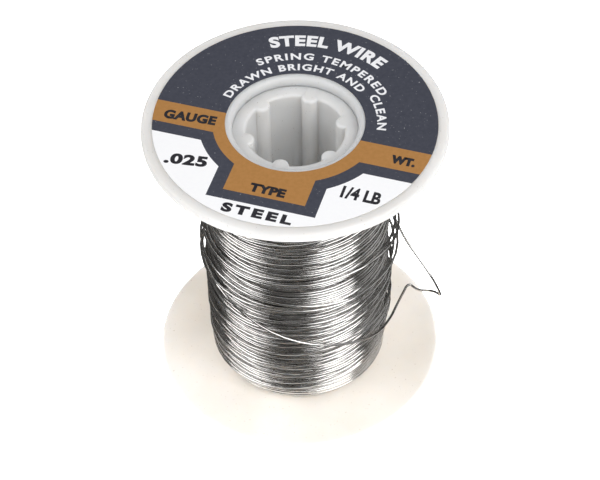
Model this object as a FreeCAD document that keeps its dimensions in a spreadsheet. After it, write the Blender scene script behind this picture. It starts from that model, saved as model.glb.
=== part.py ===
import FreeCAD, Part
import math
import os

import Sketcher

# A small spool of bright spring wire. It stands on its lower flange, with +Z along its axis
# and the origin at the centre of the face that it stands on. Lengths are in millimetres.
#
# The spool is built outwards from its spindle bore: a ribbed core tube, whose end collars sit
# inside the flanges' spigots, then the hollow drum around the spigots, and the wire on the drum.

SIZES = [
    ("spool_height", 78.0, "outer face to outer face of the flanges"),
    ("flange_dia", 70.0, "outside of both flanges"),
    ("flange_thick", 2.5, "each flange's disc"),
    ("flange_round", 1.0, "rounding of a flange's outer edges"),
    ("spindle_bore_dia", 22.6, "bore of the core tube, between its ribs"),
    ("core_wall", 2.4, "wall of the core tube"),
    ("ledge_width", 3.1, "end of the core that shows inside a flange's hole"),
    ("collar_seat", 1.8, "how far a collar runs out under its flange"),
    ("collar_thick", 2.0, "each end collar of the core tube"),
    ("rib_dia", 4.0, "half-round ribs of the spindle bore"),
    ("rib_rise", 1.8, "how far a rib stands into the bore"),
    ("rib_count", 6, "ribs round the bore"),
    ("rib_turn", 12.0, "degrees from +X to the first rib"),
    ("spigot_wall", 1.5, "locating ring on a flange's inner face"),
    ("spigot_depth", 4.0, "how far that ring reaches into the drum"),
    ("drum_wall", 1.6, "wall of the drum"),
    ("fit_gap", 0.1, "radial clearance between the fitted pieces"),
    ("winding_build", 2.8, "thickness of the wound wire on the drum"),
    ("winding_flare", 0.7, "how much thicker it is under the top flange"),
    ("flare_height", 8.0, "height of that flare"),
    ("label_margin", 2.6, "flange edge left bare round the label"),
    ("label_inset", 1.5, "bare ring between the label and the flange's hole"),
    ("label_thick", 0.12, "paper label with its film"),
    ("wire_dia", 0.635, "the wire itself"),
]

# The stretch of wire that has sprung off the winding. It leaves the right-hand side low down,
# turns sharply back towards the front, folds at its outermost point and climbs back to the turns.
LOOP_ROUTE = [
    (22.6, -5.0, 14.4),
    (23.8, -1.8, 14.1),
    (25.2, 1.6, 13.9),
    (26.4, 4.2, 13.8),
    (27.1, 5.9, 13.8),
    (28.1, 6.6, 13.5),
    (29.0, 5.7, 13.3),
    (29.9, 3.8, 14.4),
    (31.3, 1.2, 17.3),
    (32.7, -1.5, 20.2),
    (33.8, -3.4, 21.8),
    (34.5, -4.7, 22.2),
    (34.6, -5.2, 23.2),
    (33.9, -4.9, 25.1),
    (32.5, -4.0, 27.9),
    (30.4, -2.3, 30.8),
    (28.1, 0.0, 33.2),
    (26.2, 2.4, 34.8),
    (24.9, 4.9, 36.2),
    (23.7, 7.6, 37.4),
    (22.0, 10.2, 38.4),
]
ARC_SHARE = 0.45

doc = FreeCAD.newDocument("wire_spool")
sheet = doc.addObject("Spreadsheet::Sheet", "sizes")
for row, (alias, number, note) in enumerate(SIZES, start=1):
    sheet.set(f"A{row}", alias)
    sheet.set(f"B{row}", str(number))
    sheet.setAlias(f"B{row}", alias)
    sheet.set(f"C{row}", note)
doc.recompute()


class Size:
    """A length as a number, to draw with, and as an expression on the sheet, to bind with."""

    def __init__(self, number, text):
        self.number = number
        self.text = text

    def __add__(self, other):
        return Size(self.number + other.number, f"({self.text} + {other.text})")

    def __sub__(self, other):
        return Size(self.number - other.number, f"({self.text} - {other.text})")

    def __truediv__(self, divisor):
        return Size(self.number / divisor, f"({self.text} / {divisor})")


def size(alias):
    return Size(float(sheet.get(alias)), f"sizes.{alias}")


ZERO = Size(0.0, "0")
spool_height = size("spool_height")
flange_thick = size("flange_thick")
fit_gap = size("fit_gap")
drum_length = spool_height - flange_thick - flange_thick
collar_thick = size("collar_thick")

# Radii, from the bore outwards.
bore_r = size("spindle_bore_dia") / 2
core_r = bore_r + size("core_wall")
flange_hole_r = bore_r + size("ledge_width")
collar_r = flange_hole_r + size("collar_seat")
spigot_in_r = collar_r + fit_gap
spigot_out_r = spigot_in_r + size("spigot_wall")
drum_in_r = spigot_out_r + fit_gap
drum_r = drum_in_r + size("drum_wall")
winding_r = drum_r + size("winding_build")
flange_r = size("flange_dia") / 2


def new_body(label):
    body = doc.addObject("PartDesign::Body", label)
    body.Label = label
    return body


def sketch_on(body, role, name):
    """An empty sketch on one of the body's own origin planes."""
    plane = next(f for f in body.Origin.OriginFeatures if f.Role == role)
    sketch = body.newObject("Sketcher::SketchObject", name)
    sketch.AttachmentSupport = [(plane, "")]
    sketch.MapMode = "FlatFace"
    return sketch


def bind_point(sketch, geometry, end, axis, length):
    """Hold one coordinate of a point, or keep it on the axis where that coordinate is zero."""
    if length.number == 0.0:
        on_axis = {"DistanceX": -2, "DistanceY": -1}[axis]
        sketch.addConstraint(Sketcher.Constraint("PointOnObject", geometry, end, on_axis))
        return
    bound = sketch.addConstraint(
        Sketcher.Constraint(axis, -1, 1, geometry, end, length.number)
    )
    sketch.setExpression(f"Constraints[{bound}]", length.text)


def turned(body, name, corners):
    """A full revolution about Z of the closed outline through corners, (radius, height) each."""
    sketch = sketch_on(body, "XZ_Plane", f"{name}_outline")
    points = [FreeCAD.Vector(r.number, height.number, 0) for r, height in corners]
    lines = []
    for start, end in zip(points, points[1:] + points[:1]):
        lines.append(sketch.addGeometry(Part.LineSegment(start, end)))
    for line, following in zip(lines, lines[1:] + lines[:1]):
        sketch.addConstraint(Sketcher.Constraint("Coincident", line, 2, following, 1))
    for line, (r, height) in zip(lines, corners):
        bind_point(sketch, line, 1, "DistanceX", r)
        bind_point(sketch, line, 1, "DistanceY", height)
    solid = body.newObject("PartDesign::Revolution", f"{name}_turned")
    solid.Profile = sketch
    solid.ReferenceAxis = (sketch, ["V_Axis"])
    solid.Angle = 360
    body.Tip = solid
    doc.recompute()
    return solid


def ring(r_in, r_out, length):
    return [(r_in, ZERO), (r_out, ZERO), (r_out, length), (r_in, length)]


def lift(body, height):
    body.setExpression("Placement.Base.z", height.text)


def make_flange(label):
    """A disc with a rounded edge and a locating ring, its outer face on the XY plane."""
    body = new_body(label)
    ring_end = flange_thick + size("spigot_depth")
    disc = turned(
        body,
        label,
        [
            (flange_hole_r, ZERO),
            (flange_r, ZERO),
            (flange_r, flange_thick),
            (spigot_out_r, flange_thick),
            (spigot_out_r, ring_end),
            (spigot_in_r, ring_end),
            (spigot_in_r, flange_thick),
            (flange_hole_r, flange_thick),
        ],
    )
    rim_edges = []
    for number, edge in enumerate(disc.Shape.Edges, start=1):
        if isinstance(edge.Curve, Part.Circle):
            if math.isclose(edge.Curve.Radius, flange_r.number, abs_tol=1e-6):
                rim_edges.append(f"Edge{number}")
    rounded = body.newObject("PartDesign::Fillet", f"{label}_rim")
    rounded.Base = (disc, rim_edges)
    rounded.Radius = float(sheet.get("flange_round"))
    rounded.setExpression("Radius", "sizes.flange_round")
    body.Tip = rounded
    return body


def make_core():
    """The spindle tube: an end collar at each end, and half-round ribs down its whole bore."""
    body = new_body("ribbed_core")
    upper_collar = drum_length - collar_thick
    turned(
        body,
        "core",
        [
            (bore_r, ZERO),
            (collar_r, ZERO),
            (collar_r, collar_thick),
            (core_r, collar_thick),
            (core_r, upper_collar),
            (collar_r, upper_collar),
            (collar_r, drum_length),
            (bore_r, drum_length),
        ],
    )
    rib_r = size("rib_dia") / 2
    rib_centre = bore_r - size("rib_rise") + rib_r
    sketch = sketch_on(body, "XY_Plane", "rib_section")
    centre = FreeCAD.Vector(rib_centre.number, 0, 0)
    circle = sketch.addGeometry(
        Part.Circle(centre, FreeCAD.Vector(0, 0, 1), rib_r.number)
    )
    bind_point(sketch, circle, 3, "DistanceX", rib_centre)
    bind_point(sketch, circle, 3, "DistanceY", ZERO)
    radius = sketch.addConstraint(Sketcher.Constraint("Radius", circle, rib_r.number))
    sketch.setExpression(f"Constraints[{radius}]", rib_r.text)
    rib = body.newObject("PartDesign::Pad", "rib")
    rib.Profile = sketch
    rib.Length = drum_length.number
    rib.setExpression("Length", drum_length.text)
    body.Tip = rib
    doc.recompute()
    ribs = body.newObject("PartDesign::PolarPattern", "ribs")
    ribs.Originals = [rib]
    ribs.Axis = (sketch, ["N_Axis"])
    ribs.Angle = 360
    ribs.Occurrences = int(float(sheet.get("rib_count")))
    ribs.setExpression("Occurrences", "sizes.rib_count")
    body.Tip = ribs
    turn = float(sheet.get("rib_turn"))
    body.Placement = FreeCAD.Placement(
        FreeCAD.Vector(0, 0, flange_thick.number),
        FreeCAD.Rotation(FreeCAD.Vector(0, 0, 1), turn),
    )
    body.setExpression("Placement.Rotation.Angle", "sizes.rib_turn")
    lift(body, flange_thick)
    return body


def make_ring(label, r_in, r_out, length, height):
    body = new_body(label)
    turned(body, label, ring(r_in, r_out, length))
    lift(body, height)
    return body


def make_winding():
    """The outer shape of the wound wire: a sleeve on the drum that flares under the top flange."""
    body = new_body("wire_winding")
    flare_start = drum_length - size("flare_height")
    turned(
        body,
        "winding",
        [
            (drum_r, ZERO),
            (winding_r, ZERO),
            (winding_r, flare_start),
            (winding_r + size("winding_flare"), drum_length),
            (drum_r, drum_length),
        ],
    )
    lift(body, flange_thick)
    return body


def tube_path(route):
    """Straight runs joined by tangent arcs, each as large as its two runs allow."""
    points = [FreeCAD.Vector(*place) for place in route]
    edges = []
    radii = []
    here = points[0]
    for before, corner, after in zip(points, points[1:], points[2:]):
        into = (corner - before).normalize()
        out = (after - corner).normalize()
        half_turn = into.getAngle(out) / 2
        reach = ARC_SHARE * min((corner - before).Length, (after - corner).Length)
        radius = reach / math.tan(half_turn)
        inward = (out - into).normalize()
        middle = corner + inward * (radius / math.cos(half_turn) - radius)
        edges.append(Part.LineSegment(here, corner - into * reach).toShape())
        here = corner + out * reach
        edges.append(Part.Arc(corner - into * reach, middle, here).toShape())
        radii.append(radius)
    edges.append(Part.LineSegment(here, points[-1]).toShape())
    return Part.Wire(edges), radii


def make_loop():
    """The sprung-out stretch of wire, as a round tube."""
    path, radii = tube_path(LOOP_ROUTE)
    wire_r = float(sheet.get("wire_dia")) / 2
    start = FreeCAD.Vector(*LOOP_ROUTE[0])
    heading = FreeCAD.Vector(*LOOP_ROUTE[1]) - start
    section = Part.Wire([Part.Circle(start, heading, wire_r).toShape()])
    tube = path.makePipeShell([section], True, False)
    expected = math.pi * wire_r**2 * path.Length
    print("loop: length %.2f mm" % path.Length)
    print("loop: arc radii mm", ", ".join("%.2f" % radius for radius in radii))
    print("loop: volume %.4f mm3, section times length %.4f mm3" % (tube.Volume, expected))
    feature = doc.addObject("Part::Feature", "wire_loop")
    feature.Label = "wire_loop"
    feature.Shape = tube
    feature.Placement = FreeCAD.Placement()
    return feature


bottom_flange = make_flange("bottom_flange")
top_flange = make_flange("top_flange")
top_flange.Placement = FreeCAD.Placement(
    FreeCAD.Vector(0, 0, spool_height.number),
    FreeCAD.Rotation(FreeCAD.Vector(1, 0, 0), 180),
)
lift(top_flange, spool_height)
core = make_core()
drum = make_ring("drum", drum_in_r, drum_r, drum_length, flange_thick)
label_hole_r = flange_hole_r + size("label_inset")
label_r = flange_r - size("label_margin")
label = make_ring("top_label", label_hole_r, label_r, size("label_thick"), spool_height)
winding = make_winding()
loop = make_loop()
doc.recompute()

sub_parts = [bottom_flange, top_flange, core, drum, label, winding, loop]
for item in doc.Objects:
    if "Invalid" in item.State or "Error" in item.State:
        raise RuntimeError(f"{item.Label} did not recompute: {item.State}")
for item in sub_parts:
    if item.Shape.isNull() or not item.Shape.isValid() or len(item.Shape.Solids) != 1:
        raise RuntimeError(f"{item.Label} is not one valid solid")

os.makedirs("parts", exist_ok=True)
for item in sub_parts:
    item.Shape.exportStep(f"parts/{item.Label}.step")
    box = item.Shape.BoundBox
    print(
        "%-14s volume %9.1f mm3, z %6.2f to %6.2f, widest %5.2f"
        % (item.Label, item.Shape.Volume, box.ZMin, box.ZMax, max(box.XLength, box.YLength))
    )
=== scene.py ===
# %% [markdown]
# # A spool of bright spring wire
# A small plastic spool stands on one flange, with a printed label on top and 45 m of fine
# stainless wire on its drum. The frame comes from the CAD model and is never changed: every
# piece here is made in metres, in the same place as the CAD piece that it stands for.

import math
import random

import bmesh
import bpy
import numpy as np
from mathutils import Matrix, Quaternion, Vector


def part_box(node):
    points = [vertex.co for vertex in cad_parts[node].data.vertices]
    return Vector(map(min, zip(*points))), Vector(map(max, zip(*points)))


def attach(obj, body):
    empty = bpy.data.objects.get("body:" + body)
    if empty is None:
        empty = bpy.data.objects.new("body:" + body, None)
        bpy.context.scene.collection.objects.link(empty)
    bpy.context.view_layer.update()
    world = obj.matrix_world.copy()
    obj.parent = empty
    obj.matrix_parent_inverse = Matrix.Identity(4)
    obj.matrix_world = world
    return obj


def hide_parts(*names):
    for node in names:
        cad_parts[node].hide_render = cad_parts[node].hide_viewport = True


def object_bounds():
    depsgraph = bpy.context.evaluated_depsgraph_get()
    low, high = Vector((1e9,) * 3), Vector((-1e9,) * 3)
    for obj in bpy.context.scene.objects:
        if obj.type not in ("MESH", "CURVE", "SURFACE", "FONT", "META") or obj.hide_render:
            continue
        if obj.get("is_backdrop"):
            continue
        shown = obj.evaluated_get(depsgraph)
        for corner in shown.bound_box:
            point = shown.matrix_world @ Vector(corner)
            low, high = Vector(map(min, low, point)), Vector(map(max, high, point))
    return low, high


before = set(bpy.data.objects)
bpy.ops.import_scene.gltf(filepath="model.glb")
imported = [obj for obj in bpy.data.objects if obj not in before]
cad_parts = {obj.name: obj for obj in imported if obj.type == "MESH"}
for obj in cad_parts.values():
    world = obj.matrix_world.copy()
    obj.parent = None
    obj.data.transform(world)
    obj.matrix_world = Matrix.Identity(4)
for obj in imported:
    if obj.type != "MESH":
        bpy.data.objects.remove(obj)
cad_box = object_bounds()
MM = 0.001
print("nodes:", ", ".join(sorted(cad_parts)))

# %% [markdown]
# ## Camera
# A long lens looks down on the spool at about 44 degrees, so the label is an ellipse and the
# wire shows below it. The camera is aimed at a point on the spool and then rolled a little,
# which is easier to adjust than three angles.

# %% Camera
camera_data = bpy.data.cameras.new("camera")
camera_data.sensor_width = 36.0
camera_data.lens = 121.4
camera = bpy.data.objects.new("camera", camera_data)
bpy.context.scene.collection.objects.link(camera)
camera.location = Vector((0.0, -328.1, 398.3)) * MM
AIM = Vector((0.55, 0.0, 38.25)) * MM
ROLL = math.radians(-1.21)
camera.rotation_mode = "QUATERNION"
looking = (AIM - camera.location).to_track_quat("-Z", "Y")
camera.rotation_quaternion = looking @ Quaternion((0, 0, 1), ROLL)
bpy.context.scene.camera = camera
print("camera distance:", round((AIM - camera.location).length, 3))

# %% [markdown]
# ## The wire: how a winding is made
# The wire is one piece from end to end, so it is one NURBS spline. A neat helix would look like
# a machined thread. A real winding comes from laying turn after turn: a guide travels up and
# down, never quite evenly, and each turn rests on the drum or in the groove between the turns
# below it. So the spline's points are laid in that order, fifteen to a turn.

# %% Sizes of the winding
WIRE_D = 0.635 * MM
STATIONS = 15
STATION_TURN = 360.0 / STATIONS
drum_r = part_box("drum")[1].x
wound_low, wound_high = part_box("wire_winding")
FLANGE_GAP = 0.55 * WIRE_D
LOWEST = wound_low.z + FLANGE_GAP
HIGHEST = wound_high.z - FLANGE_GAP
dice = random.Random(11)
print("drum radius %.2f mm, room for the wire %.1f mm" % (drum_r / MM, (HIGHEST - LOWEST) / MM))

# %% [markdown]
# The guide's travel is a list of knots: after so many turns it is at such a height. Each pass
# has its own mean pitch, but the steps are uneven, so some turns huddle and others leave gaps.
# Raising a random number to the third power makes long steps rare and short ones common.

# %% Travel of the guide
STEP_LEAST = 0.86
STEP_EXTRA = 0.56
STEP_JITTER = 0.35
PASSES = [
    (HIGHEST, 98),
    (LOWEST + 1.2 * MM, 98),
    (HIGHEST, 93),
    (LOWEST + 5.5 * MM, 30),
    (41.0 * MM, 8),
]
knots = [(0.0, LOWEST)]
turns = 0
for target, count in PASSES:
    steps = [STEP_LEAST + STEP_EXTRA * dice.random() ** 3 for _ in range(count)]
    stretch = (target - knots[-1][1]) / sum(steps)
    for step in steps:
        turns += 1
        place = turns + dice.uniform(-STEP_JITTER, STEP_JITTER)
        knots.append((place, knots[-1][1] + step * stretch))
knot_turns, knot_heights = np.array(knots).T
station_turns = np.arange(turns * STATIONS) / STATIONS
heights = np.interp(station_turns, knot_turns, knot_heights)
print("turns laid by the guide:", turns)

# %% [markdown]
# A hand on the wire also tips the turns. The tilt wanders from turn to turn, little in the
# first layers and more in the last ones, and dies out next to the flanges. A short average
# along the wire then takes the corners out of its travel, since hard wire has none.


# %% Tilt of the turns
def wander(count, hold):
    """One value per turn that drifts about zero."""
    values = [0.0]
    for _ in range(count):
        values.append(hold * values[-1] + dice.gauss(0.0, math.sqrt(1 - hold * hold)))
    return np.array(values)


HOLD = 0.93
TILT_TURNS = [0, turns - 150, turns - 120, turns - 52, turns - 40, turns]
TILT_MM = [0.02, 0.04, 0.35, 0.55, 1.3, 1.6]
TILT_FADE = 7.0 * MM
AVERAGED = 5
whole_turns = np.arange(turns + 1)
angles = np.radians(180.0 + STATION_TURN * np.arange(turns * STATIONS))
tilt_x = np.interp(station_turns, whole_turns, wander(turns, HOLD))
tilt_y = np.interp(station_turns, whole_turns, wander(turns, HOLD))
tilt_size = np.interp(station_turns, TILT_TURNS, TILT_MM) * MM
room = np.minimum(heights - LOWEST, HIGHEST - heights)
tilt_size *= np.clip(room / TILT_FADE, 0.0, 1.0)
heights = heights + tilt_size * (tilt_x * np.cos(angles) + tilt_y * np.sin(angles))
padded = np.pad(heights, AVERAGED // 2, mode="edge")
heights = np.convolve(padded, np.ones(AVERAGED) / AVERAGED, mode="valid")
heights = np.clip(heights, LOWEST, HIGHEST)
print("tilts up to %.2f mm" % (abs(tilt_size * tilt_x).max() / MM))

# %% [markdown]
# Laying the wire: at each of the fifteen stations round the drum the earlier turns are kept as
# (radius, height, height at the station before). A new turn rests on the drum, or on the turns
# nearer than one diameter. Where it has changed sides with an older turn since the last station
# it must go right over it, or the two would pass through each other. Pulled tight, it also slips
# sideways into the nearest groove, which is what makes wound wire look even.

# %% Where the next turn rests
laid = [[] for _ in range(STATIONS)]
LEAST_R = drum_r + WIRE_D / 2
SLIP = 0.40 * MM
SLIP_TRIES = np.linspace(-1.0, 1.0, 25)
PULL = 0.45 / MM
STIFFNESS = 0.35 / MM


def resting_radii(station, tried, before):
    """For each tried height, the least radius that clears the drum and the turns laid so far."""
    if not laid[station]:
        return np.full(len(tried), LEAST_R)
    older_r, older_z, older_before = np.array(laid[station]).T
    apart = older_z[None, :] - tried[:, None]
    crossed = apart * (older_before[None, :] - before) < 0
    groove_rise = np.sqrt(np.clip(WIRE_D**2 - apart**2, 0.0, None))
    rise = np.where(crossed, WIRE_D, groove_rise)
    touching = np.where((abs(apart) < WIRE_D) | crossed, older_r[None, :] + rise, LEAST_R)
    return np.maximum(LEAST_R, touching.max(axis=1))


def settle(station, guided, before, slip):
    """Height and radius where the wire comes to rest, from the guide's height."""
    tried = np.clip(guided + slip * SLIP_TRIES, LOWEST, HIGHEST)
    radii = resting_radii(station, tried, before)
    effort = radii + PULL * (tried - guided) ** 2 + STIFFNESS * (tried - before) ** 2
    best = int(np.argmin(effort))
    return tried[best], radii[best]


# %% [markdown]
# The wire is also stiff. It bridges the hollow next to a high spot, and it comes down from one
# over a few stations. BEND says how far the wire may drop, one and two stations from a high spot.
# EASE carries a share of the last radius on, and PRESS is how far that may push a turn into the
# one below, which is too little to see.

# %% Laying a stretch of wire
BEND = [(0, 0.0), (1, 0.16 * MM), (2, 0.60 * MM)]
LOOKAHEAD = len(BEND) - 1
EASE = 0.3
PRESS = 0.05 * MM


def lay(first_station, guide, loose, slip=0.0):
    """Lays a stretch of wire and returns its (angle, radius, height) rows."""
    settled = []
    rows = []
    before = guide[0]
    count = len(guide)
    for k in range(count):
        while len(settled) <= min(k + LOOKAHEAD, count - 1):
            ahead = len(settled)
            station = (first_station + ahead) % STATIONS
            settled.append(settle(station, guide[ahead], before, slip))
            before = settled[-1][0]
        height, rest = settled[k]
        near = [loose[k]]
        for away, drop in BEND:
            near += [settled[j][1] - drop for j in (k - away, k + away) if 0 <= j < len(settled)]
        radius = max(near)
        if k > 0:
            radius = max(rest - PRESS, (1 - EASE) * radius + EASE * rows[-1][1])
        station = first_station + k
        laid[station % STATIONS].append((radius, height, settled[max(k - 1, 0)][0]))
        rows.append((180.0 + STATION_TURN * station, radius, height))
    return rows


# %% [markdown]
# The last few turns of that pass were never pulled tight. They stand off the rest on the right
# of the spool, in its lower half, and the others have a hair of slack that comes and goes.

# %% Slack of the turns
SLACK_TURNS = [0, turns - 80, turns]
SLACK_MM = [0.0, 0.02, 0.08]
SLACK_SWING = 0.8
WAVES_PER_TURN = 2.3
WAVE_DRIFT = 0.37
LOOSE_SIDE = math.radians(-4.0)
LOOSE_LAST = 14
LOOSE_LOW, LOOSE_HIGH = 17 * MM, 35 * MM
LOOSE_R = 23.3 * MM
LOOSE_WIDTH = 0.10
slack = np.interp(station_turns, SLACK_TURNS, SLACK_MM) * MM
slack *= 1.0 + SLACK_SWING * np.sin(WAVES_PER_TURN * angles + WAVE_DRIFT * station_turns)
is_loose = (station_turns > turns - LOOSE_LAST) & (heights > LOOSE_LOW) & (heights < LOOSE_HIGH)
away_from_side = 1 - np.cos(angles - LOOSE_SIDE)
bulge = np.where(is_loose, np.exp(-away_from_side / LOOSE_WIDTH), 0.0)
loose = drum_r + slack + bulge * (LOOSE_R - drum_r)
wound = lay(0, heights, loose, slip=SLIP)
print("outer radius reached: %.2f mm" % (max(row[1] for row in wound) / MM))

# %% [markdown]
# From the last turn one strand slides down across all the others, from the left to low on the
# right, and lies on top of them: one height for each of its stations. Where it lets go it
# springs off the spool in a sharp Z. That stretch is the CAD model's own route, point for
# point, as the spline's control points.

# %% The strand that crosses the winding
CROSSING_MM = [39.6, 37.9, 34.9, 30.2, 26.5, 22.9, 18.7]
CROSSING_R = 22.95 * MM
crossing_rows = lay(
    len(heights),
    np.array(CROSSING_MM) * MM,
    np.full(len(CROSSING_MM), CROSSING_R),
)

LOOP_ROUTE = [
    (22.6, -5.0, 14.4),
    (23.8, -1.8, 14.1),
    (25.2, 1.6, 13.9),
    (26.4, 4.2, 13.8),
    (27.1, 5.9, 13.8),
    (28.1, 6.6, 13.5),
    (29.0, 5.7, 13.3),
    (29.9, 3.8, 14.4),
    (31.3, 1.2, 17.3),
    (32.7, -1.5, 20.2),
    (33.8, -3.4, 21.8),
    (34.5, -4.7, 22.2),
    (34.6, -5.2, 23.2),
    (33.9, -4.9, 25.1),
    (32.5, -4.0, 27.9),
    (30.4, -2.3, 30.8),
    (28.1, 0.0, 33.2),
    (26.2, 2.4, 34.8),
    (24.9, 4.9, 36.2),
    (23.7, 7.6, 37.4),
    (22.0, 10.2, 38.4),
]
print("crossing strand: %d points, loop: %d points" % (len(crossing_rows), len(LOOP_ROUTE)))

# %% [markdown]
# The loop takes the place of two stations. After it the wire goes on round the spool in a few
# loose turns, which lie against the front and stand away at the right. The rest climbs to the
# top flange, where its cut end is tucked in among the turns. The table gives angle, height in
# millimetres and least radius in millimetres.

# %% Loose turns and the tucked end
LOOSE_TURNS = [
    (36, 38.7, 24.2), (90, 39.6, 23.8), (135, 42.0, 22.8), (156, 43.8, 22.5),
    (180, 45.3, 22.2), (193, 45.5, 22.1), (205, 45.6, 22.2), (270, 46.0, 22.0),
    (325, 46.4, 22.2), (345, 45.0, 22.9), (360, 44.2, 23.9), (372, 44.0, 24.5),
    (450, 44.6, 23.8), (495, 46.0, 22.6), (540, 46.6, 22.3), (564, 46.6, 22.3),
    (577, 46.5, 22.2), (630, 46.7, 22.0), (685, 47.1, 22.2), (705, 45.7, 22.9),
    (720, 44.9, 23.9), (732, 44.4, 24.5), (810, 42.0, 23.8), (855, 41.4, 22.6),
    (900, 41.0, 22.2), (990, 39.4, 21.5), (1046, 37.2, 22.0), (1060, 36.4, 22.4),
    (1070, 36.6, 22.9), (1082, 36.9, 23.7), (1095, 36.8, 24.2), (1170, 38.0, 23.6),
    (1215, 38.4, 22.4), (1260, 38.6, 22.2), (1350, 38.6, 21.5), (1406, 37.9, 22.0),
    (1420, 37.1, 22.4), (1430, 37.3, 22.9), (1442, 37.5, 23.7), (1455, 37.6, 24.2),
    (1530, 46.0, 22.4), (1600, 56.0, 22.2), (1680, 64.0, 22.4), (1780, 68.5, 22.5),
    (1890, 70.5, 22.4), (2050, 72.5, 22.4), (2250, 74.0, 22.3), (2400, 74.8, 21.0),
]
loose_angles, loose_heights, loose_radii = np.array(LOOSE_TURNS).T
STATIONS_IN_LOOP = 2
first = len(heights) + len(CROSSING_MM) + STATIONS_IN_LOOP
first_angle = 180.0 + STATION_TURN * (first % STATIONS) - 360.0
stops = np.arange(first_angle, loose_angles[-1], STATION_TURN)
loose_rows = lay(
    first,
    np.minimum(np.interp(stops, loose_angles, loose_heights) * MM, HIGHEST),
    np.interp(stops, loose_angles, loose_radii) * MM,
)
print("first loose station at %.1f degrees, %d points" % (first_angle, len(loose_rows)))

# %% [markdown]
# A quadratic NURBS curve runs inside its control points. On a circle with fifteen points it
# lies at 0.978 of their radius, so the points of the turns are pushed out by that much. The
# spline's order and end setting come after its points, or it would stay made of straight runs.
# The bevel is one metre deep and each point's radius is the wire's own, so that the points
# alone already say how much room the wire takes.

# %% The wire as one spline
CURVE_SHARE = 0.75 + 0.25 * math.cos(math.radians(STATION_TURN))


def around_axis(rows):
    """Control points for (angle, radius, height) rows of turns."""
    points = []
    for angle, radius, height in rows:
        out = radius / CURVE_SHARE
        a = math.radians(angle)
        points.append((out * math.cos(a), out * math.sin(a), height))
    return points


wire_points = around_axis(wound) + around_axis(crossing_rows)
wire_points += [tuple(c * MM for c in point) for point in LOOP_ROUTE]
wire_points += around_axis(loose_rows)
wire_curve = bpy.data.curves.new("wire", "CURVE")
wire_curve.dimensions = "3D"
spline = wire_curve.splines.new("NURBS")
spline.points.add(len(wire_points) - 1)
for control, point in zip(spline.points, wire_points):
    control.co = (*point, 1.0)
    control.radius = WIRE_D / 2
spline.order_u = 3
spline.use_endpoint_u = True
spline.use_smooth = True
wire_curve.resolution_u = 3
wire_curve.bevel_depth = 1.0
wire_curve.bevel_resolution = 2
wire_curve.use_fill_caps = True
wire = bpy.data.objects.new("wire", wire_curve)
bpy.context.scene.collection.objects.link(wire)
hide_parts("wire_winding", "wire_loop")
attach(wire, "root")
runs = np.diff(np.array(wire_points), axis=0)
along = np.linalg.norm(runs, axis=1).sum()
print("control points %d, along them %.2f m" % (len(wire_points), along))


# %% [markdown]
# ## Finishes
# Each finish is one material made of nodes. A small helper adds a node and joins it up, so that
# a material reads from top to bottom in the order in which its colours are mixed.


# %% Helpers for materials
NOISE_ROUGHNESS = 0.55


def new_finish(name, **settings):
    """A Principled material, with plain values set on the shader's own sockets."""
    material = bpy.data.materials.new(name)
    material.use_nodes = True
    shader = material.node_tree.nodes["Principled BSDF"]
    for socket, value in settings.items():
        shader.inputs[socket.replace("_", " ")].default_value = value
    return material, shader


def add_node(material, kind, inputs=(), **settings):
    """A node of a material or of the world. An input is a value, or the socket that feeds it."""
    node = material.node_tree.nodes.new(kind)
    for key, value in settings.items():
        setattr(node, key, value)
    for key, value in dict(inputs).items():
        if isinstance(value, bpy.types.NodeSocket):
            material.node_tree.links.new(value, node.inputs[key])
        else:
            node.inputs[key].default_value = value
    return node


def connect(material, source, target):
    """Joins an output socket to an input socket."""
    material.node_tree.links.new(source, target)


def noise(material, scale, detail=3.0):
    """Noise in the object's own space, in bumps per metre."""
    place = add_node(material, "ShaderNodeTexCoord").outputs["Object"]
    texture = add_node(
        material,
        "ShaderNodeTexNoise",
        {"Vector": place, "Scale": scale, "Detail": detail, "Roughness": NOISE_ROUGHNESS},
    )
    return texture.outputs["Fac"]


def spread(material, value, low, high, out_low=0.0, out_high=1.0):
    """Stretches the part of a value between low and high to out_low to out_high."""
    node = add_node(
        material,
        "ShaderNodeMapRange",
        {0: value, 1: low, 2: high, 3: out_low, 4: out_high},
    )
    return node.outputs[0]


def mix_colour(material, share, first_colour, second_colour):
    """The first colour at share 0, the second at share 1."""
    node = add_node(
        material,
        "ShaderNodeMix",
        {0: share, 6: first_colour, 7: second_colour},
        data_type="RGBA",
    )
    return node.outputs[2]


def bump(material, shader, height, distance):
    """Makes the surface rise and fall by up to distance metres."""
    node = add_node(material, "ShaderNodeBump", {"Height": height, "Distance": distance})
    connect(material, node.outputs[0], shader.inputs["Normal"])


# %% [markdown]
# The wire is drawn stainless: bright, a little warm, with the faint dull patches that a die and
# handling leave. The shine comes from the lights, so only the steel's own tone varies here.

# %% Wire finish
BRIGHT_STEEL = (0.82, 0.81, 0.795, 1)
DULL_STEEL = (0.68, 0.67, 0.655, 1)
DRAW_MARKS = 0.004 * MM
wire_finish, steel = new_finish("drawn_stainless", Metallic=1.0)
dull = spread(wire_finish, noise(wire_finish, 160.0), 0.4, 0.66)
steel_tone = mix_colour(wire_finish, dull, BRIGHT_STEEL, DULL_STEEL)
connect(wire_finish, steel_tone, steel.inputs["Base Color"])
steel_rough = spread(wire_finish, noise(wire_finish, 140.0), 0.3, 0.7, 0.11, 0.21)
connect(wire_finish, steel_rough, steel.inputs["Roughness"])
bump(wire_finish, steel, noise(wire_finish, 600.0, detail=1.0), DRAW_MARKS)
wire_curve.materials.append(wire_finish)

# %% [markdown]
# The spool is natural polyethylene. Light goes some way into it, which softens its edges and
# warms its shadows. It has the fine grain of the mould, rubbed patches and a few dust specks.

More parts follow.
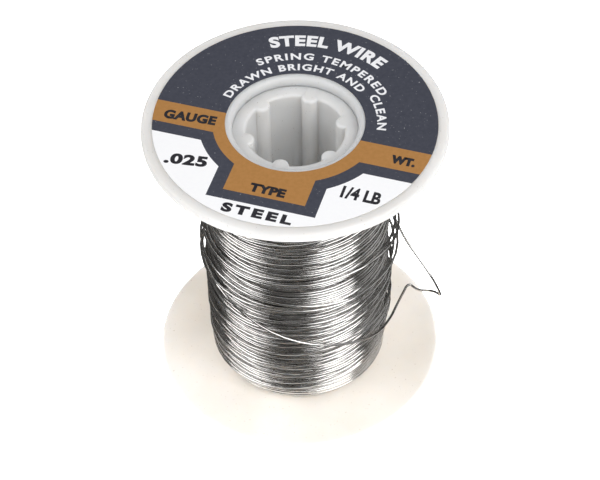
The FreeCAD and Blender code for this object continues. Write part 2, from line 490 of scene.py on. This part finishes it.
# %% Plastic finish
LIGHT_DEPTH = 4.5 * MM
CLEAR_RESIN = (0.745, 0.742, 0.735, 1)
CLOUDY_RESIN = (0.68, 0.675, 0.66, 1)
DUST = (0.32, 0.28, 0.23, 1)
MOULD_GRAIN = 0.02 * MM
plastic, resin = new_finish(
    "natural_polyethylene",
    Subsurface_Weight=0.85,
    Subsurface_Scale=LIGHT_DEPTH,
    Subsurface_Radius=(1.0, 0.92, 0.84),
)
milky = spread(plastic, noise(plastic, 45.0), 0.35, 0.7)
clean_resin = mix_colour(plastic, milky, CLEAR_RESIN, CLOUDY_RESIN)
dust = spread(plastic, noise(plastic, 1900.0, detail=1.0), 0.735, 0.775, 0.0, 0.55)
dusty_resin = mix_colour(plastic, dust, clean_resin, DUST)
connect(plastic, dusty_resin, resin.inputs["Base Color"])
rubbed = spread(plastic, noise(plastic, 220.0, detail=5.0), 0.35, 0.7, 0.32, 0.52)
connect(plastic, rubbed, resin.inputs["Roughness"])
bump(plastic, resin, noise(plastic, 1400.0, detail=4.0), MOULD_GRAIN)

# %% [markdown]
# ## Turned pieces
# The flanges, the drum and the label are turned shapes. Each is an outline of radius and height
# that is swept round the axis. Every corner carries its own rounding, since no moulded edge is
# sharp, and the light that catches those edges is what makes the plastic look moulded.


# %% Helpers for turned pieces
SHARP_ANGLE = math.radians(50)


def softened(corners, steps=5):
    """Replaces each (radius, height, rounding) corner of a closed outline by a small curve."""
    outline = []
    for i, (r, z, rounding) in enumerate(corners):
        here = Vector((r, z))
        before = Vector(corners[i - 1][:2])
        after = Vector(corners[(i + 1) % len(corners)][:2])
        if rounding == 0:
            outline.append(here)
            continue
        start = here + (before - here).normalized() * rounding
        end = here + (after - here).normalized() * rounding
        for step in range(steps + 1):
            s = step / steps
            outline.append(start * (1 - s) ** 2 + here * 2 * s * (1 - s) + end * s**2)
    return outline


def mesh_object(name, vertices, faces, finish, node, slot="spool_plastic"):
    """A smooth-shaded piece that rides on the spool and stands for the named CAD node."""
    mesh = bpy.data.meshes.new(name)
    mesh.from_pydata(vertices, [], faces)
    tidy = bmesh.new()
    tidy.from_mesh(mesh)
    bmesh.ops.recalc_face_normals(tidy, faces=tidy.faces)
    tidy.to_mesh(mesh)
    tidy.free()
    mesh.shade_smooth()
    mesh.set_sharp_from_angle(angle=SHARP_ANGLE)
    mesh.materials.append(finish)
    piece = bpy.data.objects.new(name, mesh)
    bpy.context.scene.collection.objects.link(piece)
    weighted = piece.modifiers.new("even_shading", "WEIGHTED_NORMAL")
    weighted.keep_sharp = True
    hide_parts(node)
    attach(piece, "root")
    print("%s: %d vertices, %d faces" % (name, len(mesh.vertices), len(mesh.polygons)))


def quads_between(loops, count):
    """Quads that join closed loops of count vertices, each to the next, round to the first."""
    faces = []
    for i in range(loops):
        after = (i + 1) % loops
        for j in range(count):
            k = (j + 1) % count
            faces.append((i * count + j, i * count + k, after * count + k, after * count + j))
    return faces


def turned(outline, steps=192):
    """Vertices and faces of a closed outline swept round the axis."""
    vertices = []
    for i in range(steps):
        a = 2 * math.pi * i / steps
        vertices += [(r * math.cos(a), r * math.sin(a), z) for r, z in outline]
    return vertices, quads_between(steps, len(outline))


# %% [markdown]
# ## Flanges
# A flange is a thin disc with a round-edged rim, a wide hole and a ring on its inner face that
# fits in the drum. A faint line of flash runs round the rim, where the two halves of the mould
# met. The two flanges are the same moulding: the upper one is the lower one turned over.

# %% Flanges
flange_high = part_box("bottom_flange")[1]
flange_r = flange_high.x
spool_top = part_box("top_flange")[1].z
THICK = 2.5 * MM
HOLE_R = 14.4 * MM
SPIGOT_IN = 16.3 * MM
SPIGOT_OUT = 17.8 * MM
SPIGOT_END = flange_high.z
FLASH = 0.04 * MM
RIM = 0.95 * MM
HOLE_ROUNDING = 1.35 * MM
FINE = 0.15 * MM
flange_corners = [
    (HOLE_R, 0.0, HOLE_ROUNDING),
    (flange_r, 0.0, RIM),
    (flange_r, 0.5 * THICK - FLASH, 0.0),
    (flange_r + FLASH, 0.5 * THICK, 0.0),
    (flange_r, 0.5 * THICK + FLASH, 0.0),
    (flange_r, THICK, RIM),
    (SPIGOT_OUT, THICK, FINE),
    (SPIGOT_OUT, SPIGOT_END, FINE),
    (SPIGOT_IN, SPIGOT_END, FINE),
    (SPIGOT_IN, THICK, FINE),
    (HOLE_R, THICK, 0.0),
]
outline = softened(flange_corners)
mesh_object("lower_flange", *turned(outline), plastic, "bottom_flange")
turned_over = [Vector((r, spool_top - z)) for r, z in outline]
mesh_object("upper_flange", *turned(turned_over), plastic, "top_flange")

# %% [markdown]
# ## Drum
# The wire hides the drum, but it is there to be seen through any gap between the turns.

# %% Drum
drum_low, drum_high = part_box("drum")
DRUM_IN = 17.9 * MM
drum_corners = [
    (DRUM_IN, drum_low.z, FINE),
    (drum_r, drum_low.z, FINE),
    (drum_r, drum_high.z, FINE),
    (DRUM_IN, drum_high.z, FINE),
]
mesh_object("drum_tube", *turned(softened(drum_corners)), plastic, "drum")

# %% [markdown]
# ## Ribbed core
# The core's bore has six half-round ribs, so it isn't a turned shape. Its section is traced as
# one closed line: along each rib's arc, then along the bore to the next rib. Moving that line
# into the plastic by a small amount while rising gives the rounded edge at each end.

# %% Section of the bore
BORE_R = 11.3 * MM
RIB_R = 2.0 * MM
RIB_CENTRE = 11.5 * MM
RIBS = 6
FIRST_RIB = math.radians(12.0)
ARC_STEPS = 16
BORE_STEPS = 18


def bore_line(inset):
    """Points of the bore's section, moved into the plastic by inset."""
    rib_r = RIB_R - inset
    bore_r = BORE_R + inset
    reach = (RIB_CENTRE**2 + bore_r**2 - rib_r**2) / (2 * RIB_CENTRE * bore_r)
    flank = math.acos(reach)
    meet = Vector((bore_r * math.cos(flank) - RIB_CENTRE, bore_r * math.sin(flank)))
    sweep = math.pi - math.atan2(meet.y, meet.x)
    line_points = []
    for rib in range(RIBS):
        middle = FIRST_RIB + rib * 2 * math.pi / RIBS
        for step in range(ARC_STEPS + 1):
            b = math.pi + sweep * (1 - 2 * step / ARC_STEPS)
            x = RIB_CENTRE + rib_r * math.cos(b)
            y = rib_r * math.sin(b)
            line_points.append(Matrix.Rotation(middle, 2) @ Vector((x, y)))
        gap = 2 * math.pi / RIBS - 2 * flank
        for step in range(1, BORE_STEPS):
            a = middle + flank + gap * step / BORE_STEPS
            line_points.append(Vector((bore_r * math.cos(a), bore_r * math.sin(a))))
    return line_points


print("bore section:", len(bore_line(0.0)), "points")

# %% [markdown]
# The core is then a stack of such lines, joined by quads: up the bore, over the rounded edge,
# out across the flat end, down the collar and the tube's outside, and back in at the bottom.

# %% Ribbed core
core_low, core_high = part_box("ribbed_core")
CORE_R = 13.7 * MM
COLLAR_R = 16.2 * MM
COLLAR = 2.0 * MM
EDGE = 0.7 * MM
EDGE_STEPS = 4


def edge_loops(z_end, direction):
    """The bore's line over the rounded edge of one end, outermost last."""
    loops = []
    for step in range(EDGE_STEPS + 1):
        a = math.radians(90.0 * step / EDGE_STEPS)
        inset = EDGE * (1 - math.cos(a))
        z = z_end - direction * EDGE * (1 - math.sin(a))
        loops.append([(p.x, p.y, z) for p in bore_line(inset)])
    return loops


def outer_loop(radius, z):
    """A circle whose points lie at the same angles as the bore's line."""
    return [(*(p.normalized() * radius), z) for p in bore_line(EDGE)]


core_loops = list(reversed(edge_loops(core_low.z, -1)))
for share in (0.25, 0.5, 0.75):
    z = core_low.z + share * (core_high.z - core_low.z)
    core_loops.append([(p.x, p.y, z) for p in bore_line(0.0)])
core_loops += edge_loops(core_high.z, 1)
for radius, z in (
    (COLLAR_R - FINE, core_high.z),
    (COLLAR_R, core_high.z - FINE),
    (COLLAR_R, core_high.z - COLLAR),
    (CORE_R, core_high.z - COLLAR),
    (CORE_R, core_low.z + COLLAR),
    (COLLAR_R, core_low.z + COLLAR),
    (COLLAR_R, core_low.z + FINE),
    (COLLAR_R - FINE, core_low.z),
):
    core_loops.append(outer_loop(radius, z))
core_vertices = [vertex for loop in core_loops for vertex in loop]
core_faces = quads_between(len(core_loops), len(core_loops[0]))
mesh_object("core_tube", core_vertices, core_faces, plastic, "ribbed_core")

# %% [markdown]
# ## Label
# The label is a ring of printed paper under a clear film: dark blue over its upper half, an
# ochre band across it with a ring round the hole and a box below, each with a dark blue
# border, and white fields below for the figures. These flat shapes are drawn by comparing
# positions, so their edges stay crisp at any distance. The print is turned on the spool, so
# positions are first turned and shifted into the print's own axes.

# %% Axes of the print
PRINT_TURN = math.radians(17.9)
PRINT_SHIFT = 0.35 * MM
label_finish, paper = new_finish(
    "printed_label",
    Coat_Weight=0.35,
    Coat_Roughness=0.16,
    Roughness=0.45,
)


def compare(operation, first_value, second_value):
    """One step of arithmetic or comparison in the label's material."""
    node = add_node(
        label_finish, "ShaderNodeMath", {0: first_value, 1: second_value}, operation=operation
    )
    return node.outputs[0]


where = add_node(label_finish, "ShaderNodeTexCoord").outputs["Object"]
turned_place = add_node(
    label_finish,
    "ShaderNodeMapping",
    {"Vector": where, "Rotation": (0, 0, PRINT_TURN), "Location": (-PRINT_SHIFT, 0, 0)},
)
across = add_node(label_finish, "ShaderNodeSeparateXYZ", {0: turned_place.outputs[0]})
u, v = across.outputs[0], across.outputs[1]
flat_place = add_node(label_finish, "ShaderNodeCombineXYZ", {0: u, 1: v, 2: 0.0})
out = add_node(
    label_finish, "ShaderNodeVectorMath", {0: flat_place.outputs[0]}, operation="LENGTH"
).outputs["Value"]
aside = compare("ABSOLUTE", u, 0.0)

# %% [markdown]
# The same union of a band, a ring and a box serves twice: a little larger for the dark blue
# border and a little smaller for the ochre. All sizes are in millimetres from the middle.

# %% Printed shapes
UPPER_HALF_BOTTOM = -1.75 * MM


def shape_share(band_bottom, ring_r, box_half, box_bottom):
    """1 inside the union of a band, a ring round the hole and a box below."""
    in_band = compare("GREATER_THAN", v, band_bottom * MM)
    in_ring = compare("LESS_THAN", out, ring_r * MM)
    beside = compare("LESS_THAN", aside, box_half * MM)
    above = compare("GREATER_THAN", v, box_bottom * MM)
    in_box = compare("MULTIPLY", beside, above)
    return compare("MAXIMUM", compare("MAXIMUM", in_band, in_ring), in_box)


ochre_area = shape_share(band_bottom=-8.4, ring_r=19.05, box_half=9.4, box_bottom=-24.6)
navy_area = shape_share(band_bottom=-11.55, ring_r=22.15, box_half=12.5, box_bottom=-27.35)
upper_half = compare("GREATER_THAN", v, UPPER_HALF_BOTTOM)

# %% [markdown]
# Printed ink is never one flat colour. Each tone wanders a little between two values, and the
# dark blue, on which it shows most, carries a few pale specks of lint under the film.

# %% Printed colours
NAVY_TONES = (0.050, 0.054, 0.074, 1), (0.064, 0.068, 0.090, 1)
OCHRE_TONES = (0.40, 0.19, 0.050, 1), (0.45, 0.215, 0.062, 1)
WHITE_TONES = (0.95, 0.95, 0.96, 1), (0.97, 0.97, 0.97, 1)
LINT = (0.55, 0.55, 0.56, 1)
FILM_WAVES = 0.02 * MM
mottle = spread(label_finish, noise(label_finish, 1200.0), 0.3, 0.7)
navy_tone = mix_colour(label_finish, mottle, *NAVY_TONES)
lint = spread(label_finish, noise(label_finish, 2300.0, detail=1.0), 0.735, 0.765, 0.0, 0.5)
navy_ink = mix_colour(label_finish, lint, navy_tone, LINT)
ochre_ink = mix_colour(label_finish, mottle, *OCHRE_TONES)
white_paper = mix_colour(label_finish, mottle, *WHITE_TONES)
printed = mix_colour(label_finish, navy_area, white_paper, navy_ink)
printed = mix_colour(label_finish, ochre_area, printed, ochre_ink)
printed = mix_colour(label_finish, upper_half, printed, navy_ink)
connect(label_finish, printed, paper.inputs["Base Color"])
bump(label_finish, paper, noise(label_finish, 300.0, detail=2.0), FILM_WAVES)

# %% [markdown]
# The paper itself is a thin ring, cut a little smaller than the flange and a little wider than
# its hole, so that no edge of it hangs over. Its upper edges are just softened by the cut.

# %% Label
LABEL_EDGE = 0.05 * MM
label_low, label_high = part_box("top_label")
label_r = label_high.x
LABEL_HOLE = 15.9 * MM
label_corners = [
    (LABEL_HOLE, label_low.z, 0.0),
    (label_r, label_low.z, 0.0),
    (label_r, label_high.z, LABEL_EDGE),
    (LABEL_HOLE, label_high.z, LABEL_EDGE),
]
mesh_object("label_ring", *turned(softened(label_corners)), label_finish, "top_label", "label")

# %% [markdown]
# ## Print on the label
# The captions and figures are thin raised ink, dark on the ochre and white fields and white on
# the dark blue. The two inks differ only in tone: both are patchy, in colour and in shine.

# %% Inks
DARK_TONES = (0.016, 0.016, 0.022, 1), (0.034, 0.033, 0.040, 1)
LIGHT_TONES = (0.90, 0.90, 0.91, 1), (0.84, 0.84, 0.86, 1)


def new_ink(name, tones):
    """A printed ink that wanders between two tones, under the label's film."""
    ink, shader = new_finish(name, Coat_Weight=0.3, Coat_Roughness=0.2)
    patch = spread(ink, noise(ink, 700.0), 0.35, 0.7)
    connect(ink, mix_colour(ink, patch, *tones), shader.inputs["Base Color"])
    rough = spread(ink, noise(ink, 900.0), 0.3, 0.7, 0.40, 0.60)
    connect(ink, rough, shader.inputs["Roughness"])
    return ink


dark_ink = new_ink("dark_ink", DARK_TONES)
white_ink = new_ink("white_ink", LIGHT_TONES)
print("inks:", dark_ink.name, "and", white_ink.name)

# %% [markdown]
# Text is set with a font, turned into a mesh and laid on the label. The mesh is measured first,
# so that a place function can put each share of its width and height wherever it belongs.


# %% Lettering helper
INK_RISE = 0.02 * MM
INK_SINK = 0.01 * MM
DRAFT_DEPTH = 0.1


def on_label(x, y, lift):
    """A point of the print, in millimetres, as a point in the frame."""
    a = -PRINT_TURN
    px = x * MM + PRINT_SHIFT
    py = y * MM
    return (
        px * math.cos(a) - py * math.sin(a),
        px * math.sin(a) + py * math.cos(a),
        label_high.z + lift,
    )


def ink_words(name, words, place, weight, finish, spacing=1.0):
    """Words as thin ink. place turns shares of their width and height into a print position."""
    text = bpy.data.curves.new(name, "FONT")
    text.body = words
    text.offset = weight
    text.space_character = spacing
    text.extrude = DRAFT_DEPTH
    text.resolution_u = 6
    draft = bpy.data.objects.new(name + "_draft", text)
    bpy.context.scene.collection.objects.link(draft)
    bpy.context.view_layer.update()
    set_text = draft.evaluated_get(bpy.context.evaluated_depsgraph_get())
    mesh = bpy.data.meshes.new_from_object(set_text)
    bpy.data.objects.remove(draft)
    bpy.data.curves.remove(text)
    co = np.array([vertex.co for vertex in mesh.vertices])
    low, high = co.min(axis=0), co.max(axis=0)
    for vertex in mesh.vertices:
        across_share = (vertex.co.x - low[0]) / (high[0] - low[0])
        up_share = (vertex.co.y - low[1]) / (high[1] - low[1])
        lift = INK_RISE if vertex.co.z > 0 else -INK_SINK
        vertex.co = on_label(*place(across_share, up_share), lift)
    mesh.materials.clear()
    mesh.materials.append(finish)
    piece = bpy.data.objects.new(name, mesh)
    bpy.context.scene.collection.objects.link(piece)
    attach(piece, "root")
    print("%s: %d faces" % (name, len(mesh.polygons)))


# %% [markdown]
# Print on such a label is seldom quite straight, and figures are often stamped on afterwards.
# So a straight line of text has a lean as well as a width, a height and a middle.


# %% Captions and figures
def straight(width, height, middle, lean=0.0):
    """A straight line of that width and height in millimetres, leaning by so many degrees."""
    turn = math.radians(lean)

    def place(across_share, up_share):
        x = (across_share - 0.5) * width
        y = (up_share - 0.5) * height
        return (
            middle[0] + x * math.cos(turn) - y * math.sin(turn),
            middle[1] + x * math.sin(turn) + y * math.cos(turn),
        )

    return place


ink_words("caption_gauge", "GAUGE", straight(12.2, 2.9, (-23.6, -5.3), 4.0), 0.055, dark_ink, 1.08)
ink_words("caption_type", "TYPE", straight(8.2, 2.6, (0.2, -22.3)), 0.06, dark_ink, 1.04)
ink_words("caption_weight", "WT.", straight(5.6, 2.6, (26.4, -5.4)), 0.075, dark_ink)
ink_words("figure_gauge", ".025", straight(9.7, 3.3, (-20.1, -18.4), 7.0), 0.05, dark_ink, 1.1)
ink_words("figure_weight", "1/4 LB", straight(8.9, 3.7, (20.3, -18.1)), 0.04, dark_ink)
ink_words("figure_type", "STEEL", straight(16.0, 2.8, (0.0, -29.6)), 0.06, dark_ink, 1.4)

# %% [markdown]
# Three lines of white lettering run round the hole. A bent line of text is the same thing with
# another place function: the share of the width gives an angle, that of the height a radius.


# %% Lines round the hole
def arched(r_low, r_high, a_start, a_end):
    """A line between two radii in millimetres, from one angle to another in degrees."""

    def place(across_share, up_share):
        r = r_low + (r_high - r_low) * up_share
        a = math.radians(a_start + (a_end - a_start) * across_share)
        return r * math.cos(a), r * math.sin(a)

    return place


ink_words("top_line", "STEEL WIRE", arched(25.3, 29.1, 120.5, 59.5), 0.045, white_ink, 1.1)
ink_words("middle_line", "SPRING TEMPERED", arched(20.6, 22.9, 132.0, 40.0), 0.03, white_ink, 1.25)
ink_words("low_line", "DRAWN BRIGHT AND", arched(17.0, 19.2, 169.0, 50.0), 0.03, white_ink, 1.2)
ink_words("low_line_end", "CLEAN", arched(18.2, 20.4, 42.5, 8.0), 0.03, white_ink, 1.2)

# %% [markdown]
# ## Floor and light
# The spool stands on a plain white table that is lit from within, most of all under the spool.
# That light comes up through the cloudy lower flange, which is why its disc is almost lost in
# the white ground. The table is kept out of the reflections, as if the set in front of the
# spool were dark, and it lies a hair below the flange so that the two faces never coincide.

# %% Floor
FLOOR_HALF = 3.0
FLOOR_GAP = 0.1 * MM
NEUTRAL_TABLE = (0.93, 0.93, 0.93, 1)
WARM_TABLE = (0.93, 0.915, 0.89, 1)
GLOW_NEAR, GLOW_FAR = 45 * MM, 130 * MM
GLOW_MOST, GLOW_LEAST = 2.3, 0.32
floor_finish, floor_shader = new_finish(
    "pale_table", Roughness=0.9, Emission_Color=(1, 1, 1, 1)
)
warm = spread(floor_finish, noise(floor_finish, 14.0), 0.35, 0.7)
floor_tone = mix_colour(floor_finish, warm, NEUTRAL_TABLE, WARM_TABLE)
connect(floor_finish, floor_tone, floor_shader.inputs["Base Color"])
floor_place = add_node(floor_finish, "ShaderNodeTexCoord").outputs["Object"]
from_middle = add_node(
    floor_finish, "ShaderNodeVectorMath", {0: floor_place}, operation="LENGTH"
).outputs["Value"]
glow = spread(floor_finish, from_middle, GLOW_NEAR, GLOW_FAR, GLOW_MOST, GLOW_LEAST)
connect(floor_finish, glow, floor_shader.inputs["Emission Strength"])
floor_mesh = bpy.data.meshes.new("floor")
floor_corners = [(-1, -1), (1, -1), (1, 1), (-1, 1)]
floor_points = [(FLOOR_HALF * x, FLOOR_HALF * y, -FLOOR_GAP) for x, y in floor_corners]
floor_mesh.from_pydata(floor_points, [], [(0, 1, 2, 3)])
floor_mesh.materials.append(floor_finish)
floor = bpy.data.objects.new("floor", floor_mesh)
bpy.context.scene.collection.objects.link(floor)
floor.visible_glossy = False
floor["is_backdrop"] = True

# %% [markdown]
# Bright wire shows whatever is round it, and dark gaps between bright bands are what make it
# look like steel. Matt surfaces need light from everywhere instead. So the room has three
# answers: dark for reflections, pale for scattered light, brighter towards the ceiling, and
# plain pale where the camera looks straight at it.

# %% Room light
ROOM_DARK = (0.082, 0.08, 0.078, 1)
WALLS = (0.33, 0.335, 0.35, 1)
CEILING = (0.43, 0.433, 0.445, 1)
BACKDROP = (0.93, 0.93, 0.93, 1)
WALL_TOP = 0.55
world = bpy.data.worlds.new("room")
bpy.context.scene.world = world
world.use_nodes = True
heading = add_node(world, "ShaderNodeTexCoord").outputs["Generated"]
upward = add_node(world, "ShaderNodeSeparateXYZ", {0: heading}).outputs["Z"]
height_share = spread(world, upward, 0.0, WALL_TOP)
rays = add_node(world, "ShaderNodeLightPath").outputs
scattered = mix_colour(world, height_share, WALLS, CEILING)
unseen = mix_colour(world, rays["Is Diffuse Ray"], ROOM_DARK, scattered)
room_tone = mix_colour(world, rays["Is Camera Ray"], unseen, BACKDROP)
connect(world, room_tone, world.node_tree.nodes["Background"].inputs["Color"])

# %% [markdown]
# The bands themselves come from soft boxes: a weaker one on the left makes the broad grey band,
# a strong one on the right makes the bright streak, and a faint one far round to the right
# keeps that side of the winding from going black.


# %% Soft boxes
BOX_DISTANCE = 1.2


def soft_box(name, azimuth, elevation, width, height, watts):
    """A soft box that faces the spool. Azimuth 0 is the camera's side, 90 the right."""
    a, e = math.radians(azimuth), math.radians(elevation)
    outward = Vector((math.sin(a) * math.cos(e), -math.cos(a) * math.cos(e), math.sin(e)))
    place = outward * BOX_DISTANCE
    lamp = bpy.data.lights.new(name, "AREA")
    lamp.shape = "RECTANGLE"
    lamp.size = width
    lamp.size_y = height
    lamp.energy = watts
    box = bpy.data.objects.new(name, lamp)
    bpy.context.scene.collection.objects.link(box)
    box.location = Vector((0, 0, spool_top / 2)) + place
    box.rotation_mode = "QUATERNION"
    box.rotation_quaternion = (-place).to_track_quat("-Z", "Y")


soft_box("left_box", azimuth=-72, elevation=38, width=0.8, height=0.8, watts=5.6)
soft_box("right_box", azimuth=42, elevation=42, width=0.85, height=1.1, watts=10)
soft_box("side_box", azimuth=100, elevation=30, width=0.8, height=0.8, watts=1.0)
bpy.context.scene.view_settings.view_transform = "Standard"
print("soft boxes %.1f m away" % BOX_DISTANCE)

# %% [markdown]
# Both boxes, the CAD model's and the finished model's, are kept and printed in millimetres.

shown_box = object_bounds()
boxes = {
    "cad": [list(corner) for corner in cad_box],
    "visual": [list(corner) for corner in shown_box],
}
for label, corners in boxes.items():
    print(label, [[round(c / MM, 2) for c in corner] for corner in corners])
